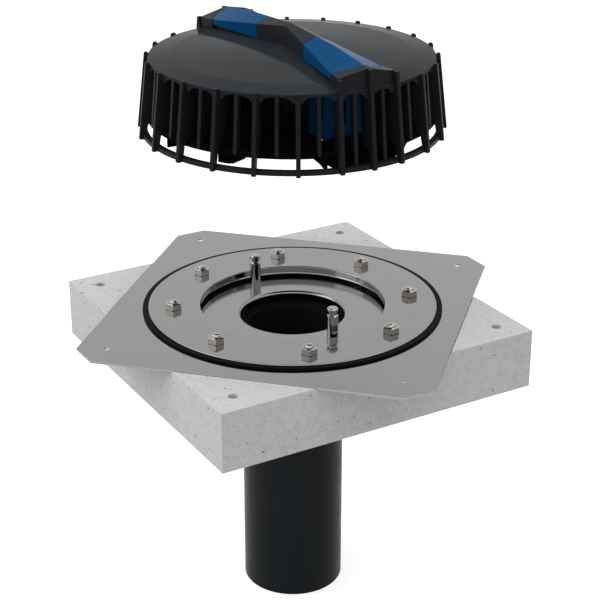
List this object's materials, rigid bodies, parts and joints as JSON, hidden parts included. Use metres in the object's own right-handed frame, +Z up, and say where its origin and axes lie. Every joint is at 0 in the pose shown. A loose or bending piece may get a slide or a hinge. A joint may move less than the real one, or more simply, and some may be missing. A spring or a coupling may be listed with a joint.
{
  "type": "flat roof drain",
  "caption": "Roof drain: square steel flange with a sunken pan, bolted clamp ring, insulation block and outlet pipe, with a ribbed leaf guard that lifts off by two rocker grips.",
  "frame": {"origin": "centre of the flange's top face, in the middle of its four fixing holes", "axes": "+Z up, out of the roof; +X and +Y along the sides of the square flange"},
  "size_m": [0.42, 0.42, 0.522],
  "materials": {
    "steel": "fine brushed, cold-rolled stainless",
    "foam": "cut grey foam with small open pores",
    "pipe_plastic": "satin black extruded pipe",
    "rubber": "matt",
    "black_plastic": "moulded, glossy on the cover and satin on the ribs",
    "blue_plastic": "satin moulded"
  },
  "bodies": {
    "drain_body": {"flange_plate": "steel", "pipe_adapter": "pipe_plastic", "throat_seal": "rubber", "outlet_pipe": "pipe_plastic", "insulation_block": "foam", "flange_gasket": "rubber", "clamp_ring": "steel", "clamp_stud_1": "steel", "clamp_nut_1": "steel", "clamp_stud_2": "steel", "clamp_nut_2": "steel", "clamp_stud_3": "steel", "clamp_nut_3": "steel", "clamp_stud_4": "steel", "clamp_nut_4": "steel", "clamp_stud_5": "steel", "clamp_nut_5": "steel", "clamp_stud_6": "steel", "clamp_nut_6": "steel", "clamp_stud_7": "steel", "clamp_nut_7": "steel", "clamp_stud_8": "steel", "clamp_nut_8": "steel", "dome_pin_1": "steel", "dome_pin_2": "steel"},
    "guard": {"leaf_guard": "black_plastic", "function_disc": "black_plastic", "disc_screw": "steel", "grip_axle_1": "steel", "grip_axle_2": "steel"},
    "grip_1": {"grip_cap_1": "blue_plastic", "grip_catch_1": "blue_plastic"},
    "grip_2": {"grip_cap_2": "blue_plastic", "grip_catch_2": "blue_plastic"}
  },
  "joints": [
    {"name": "guard_lift", "type": "slide", "parent": "drain_body", "child": "guard", "axis": [0, 0, 1], "range_m": [-0.1588, 0]},
    {"name": "grip_1_rock", "type": "hinge", "parent": "guard", "child": "grip_1", "pos_m": [0.04745, -0.04745, 0.234], "axis": [0.7071, 0.7071, 0], "range_deg": [0, 5], "stiffness_Nm_per_rad": 0.5},
    {"name": "grip_2_rock", "type": "hinge", "parent": "guard", "child": "grip_2", "pos_m": [-0.04745, 0.04745, 0.234], "axis": [-0.7071, -0.7071, 0], "range_deg": [0, 5], "stiffness_Nm_per_rad": 0.5}
  ]
}
